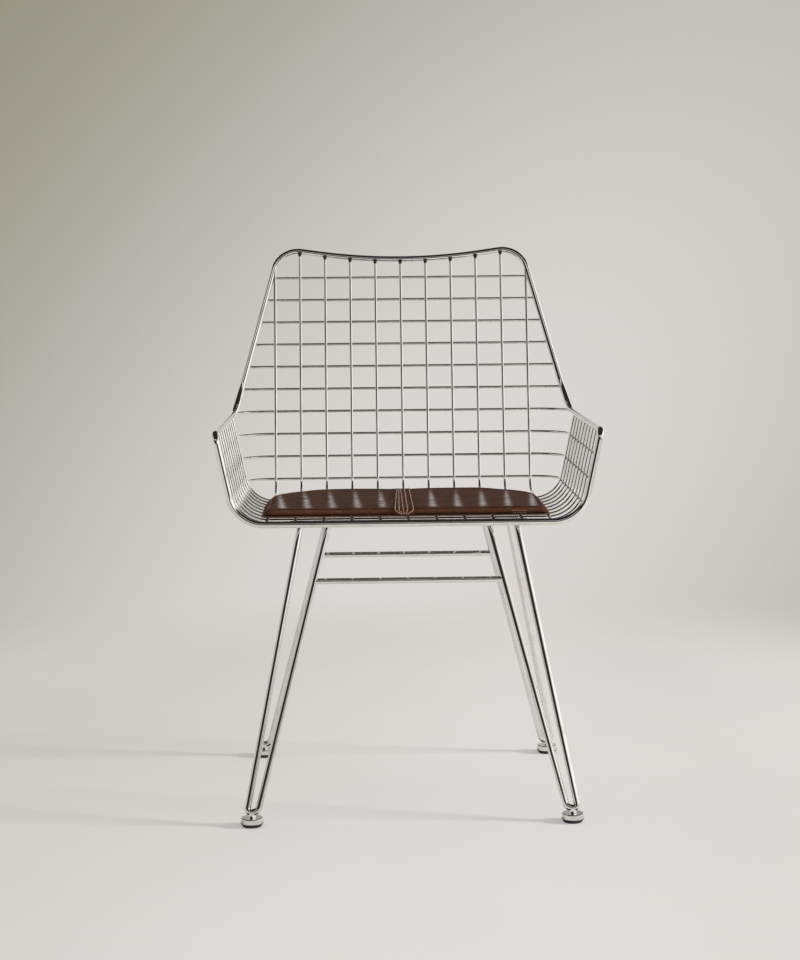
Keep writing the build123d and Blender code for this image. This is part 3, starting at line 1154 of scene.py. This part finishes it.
@dataclass
class Studio:
    """Pale floor and backdrop, even light all round and one soft box low on the right."""

    floor_radius: float = 2.4
    floor_rings: int = 24
    floor_spokes: int = 96
    ambient: float = 0.55
    ambient_tint: Colour = (1.0, 0.98, 0.95)
    key_place: Triple = (5.2, -0.9, 2.0)
    key_target: Triple = (0.0, 0.0, 0.2)
    key_side: float = 1.1
    key_power: float = 420.0
    pool: Colour = (0.711, 0.684, 0.666)
    pool_middle: Span = (0.103, -0.126)
    pool_slant: float = 0.536
    pool_falloff: Triple = (15.3, 11.6, 8.0)
    shade: Colour = (0.257, 0.248, 0.174)
    around: Colour = (0.52, 0.50, 0.475)
    backdrop_fade: Span = (0.86, 0.94)

    def floor(self) -> None:
        """A disc of rings that carries the shadow and fades out at its rim."""
        radius = np.linspace(0, self.floor_radius, self.floor_rings)
        turn = np.linspace(0, 2 * pi, self.floor_spokes, endpoint=False)
        x, y = np.outer(radius, np.cos(turn)), np.outer(radius, np.sin(turn))
        grid = np.stack([x, y, np.zeros_like(x)], axis=-1)
        mesh_object("studio_floor", skinned(grid), FloorFinish())

    def key_light(self) -> None:
        """One square soft box to the right of the chair and a little in front of it."""
        lamp = bpy.data.lights.new("soft_box", "AREA")
        lamp.size = self.key_side
        lamp.energy = self.key_power
        box = bpy.data.objects.new("soft_box", lamp)
        box.location = self.key_place
        aim = Vector(self.key_target) - Vector(self.key_place)
        box.rotation_mode = "QUATERNION"
        box.rotation_quaternion = aim.to_track_quat("-Z", "Y")
        box.visible_glossy = False
        bpy.context.scene.collection.objects.link(box)

    def backdrop(self, graph: ShaderGraph, ray: Ray) -> Socket:
        """What the camera sees: a pool of light behind the chair, a bell with its own width each way.

        Args:
            graph: The world's graph.
            ray: The direction's x, y and z.

        Returns:
            The colour in each direction.
        """
        x, y, z = ray
        aside = x - self.pool_slant * z - self.pool_middle[0]
        ways = (-aside).above(0.0), aside.above(0.0), (z - self.pool_middle[1]).above(0.0)
        left, right, up = (way * way * falloff for way, falloff in zip(ways, self.pool_falloff))
        wall = graph.mix((-(left + right + up)).exp(), self.shade, self.pool)
        return graph.mix(y.ramp(*self.backdrop_fade), self.around, wall)

    def world(self) -> None:
        """Sets the world: backdrop for the camera, studio for reflections, even light for the rest."""
        world = bpy.data.worlds.new("studio")
        bpy.context.scene.world = world
        world.use_nodes = True
        graph = ShaderGraph(world.node_tree)
        direction = graph.node("ShaderNodeTexCoord", output="Generated")
        ray = tuple(graph.axis(direction, name) for name in "XYZ")
        light = {"Color": (*self.ambient_tint, 1.0), "Strength": self.ambient}
        even = graph.node("ShaderNodeBackground", inputs=light)
        seen = graph.node("ShaderNodeBackground", inputs={"Color": self.backdrop(graph, ray)})
        shown = graph.node("ShaderNodeBackground", inputs={"Color": StudioRoom().colour(graph, ray)})
        glossy = graph.node("ShaderNodeLightPath", output="Is Glossy Ray")
        camera = graph.node("ShaderNodeLightPath", output="Is Camera Ray")
        lit = graph.node("ShaderNodeMixShader", inputs={0: glossy, 1: even, 2: shown})
        all_rays = graph.node("ShaderNodeMixShader", inputs={0: camera, 1: lit, 2: seen})
        graph.end("ShaderNodeOutputWorld", all_rays)

    def build(self) -> None:
        """Makes floor, light and world."""
        self.floor()
        self.key_light()
        self.world()
        LOG.info("studio ready")


@dataclass
class Viewpoint:
    """The photograph's camera: a long lens level with the chair's top, tipped down."""

    place: Triple = (-0.07185, -3.28424, 0.85082)
    yaw: float = 1.0983
    pitch: float = 6.3985
    roll: float = -0.5393
    focal_pixels: float = 2089.77
    long_side: float = 960.0
    sensor: float = 36.0

    def build(self) -> None:
        """Makes the camera from its place and its three angles."""
        lens = bpy.data.cameras.new("camera")
        lens.sensor_width = self.sensor
        lens.lens = self.focal_pixels * self.sensor / self.long_side
        lens.clip_end = 200.0
        yaw, pitch, roll = radians(self.yaw), radians(self.pitch), radians(self.roll)
        right = Vector((cos(yaw), -sin(yaw), 0.0))
        ahead = Vector((sin(yaw) * cos(pitch), cos(yaw) * cos(pitch), -sin(pitch)))
        down = ahead.cross(right)
        right, down = cos(roll) * right - sin(roll) * down, sin(roll) * right + cos(roll) * down
        axes = Matrix((right, -down, -ahead)).transposed()
        camera = bpy.data.objects.new("camera", lens)
        camera.matrix_world = Matrix.Translation(self.place) @ axes.to_4x4()
        bpy.context.scene.collection.objects.link(camera)
        bpy.context.scene.camera = camera
        LOG.info("lens %.1f mm", lens.lens)


def main() -> None:
    """Builds the chair's looks, the studio and the camera in order."""
    logging.basicConfig(level=logging.INFO, format="%(name)s: %(message)s")
    bpy.context.scene.view_settings.view_transform = "Standard"
    WeldedFrame().dress()
    WeldBeads().build()
    SeatPad().build()
    Studio().build()
    Viewpoint().build()


if __name__ == "__main__":
    main()
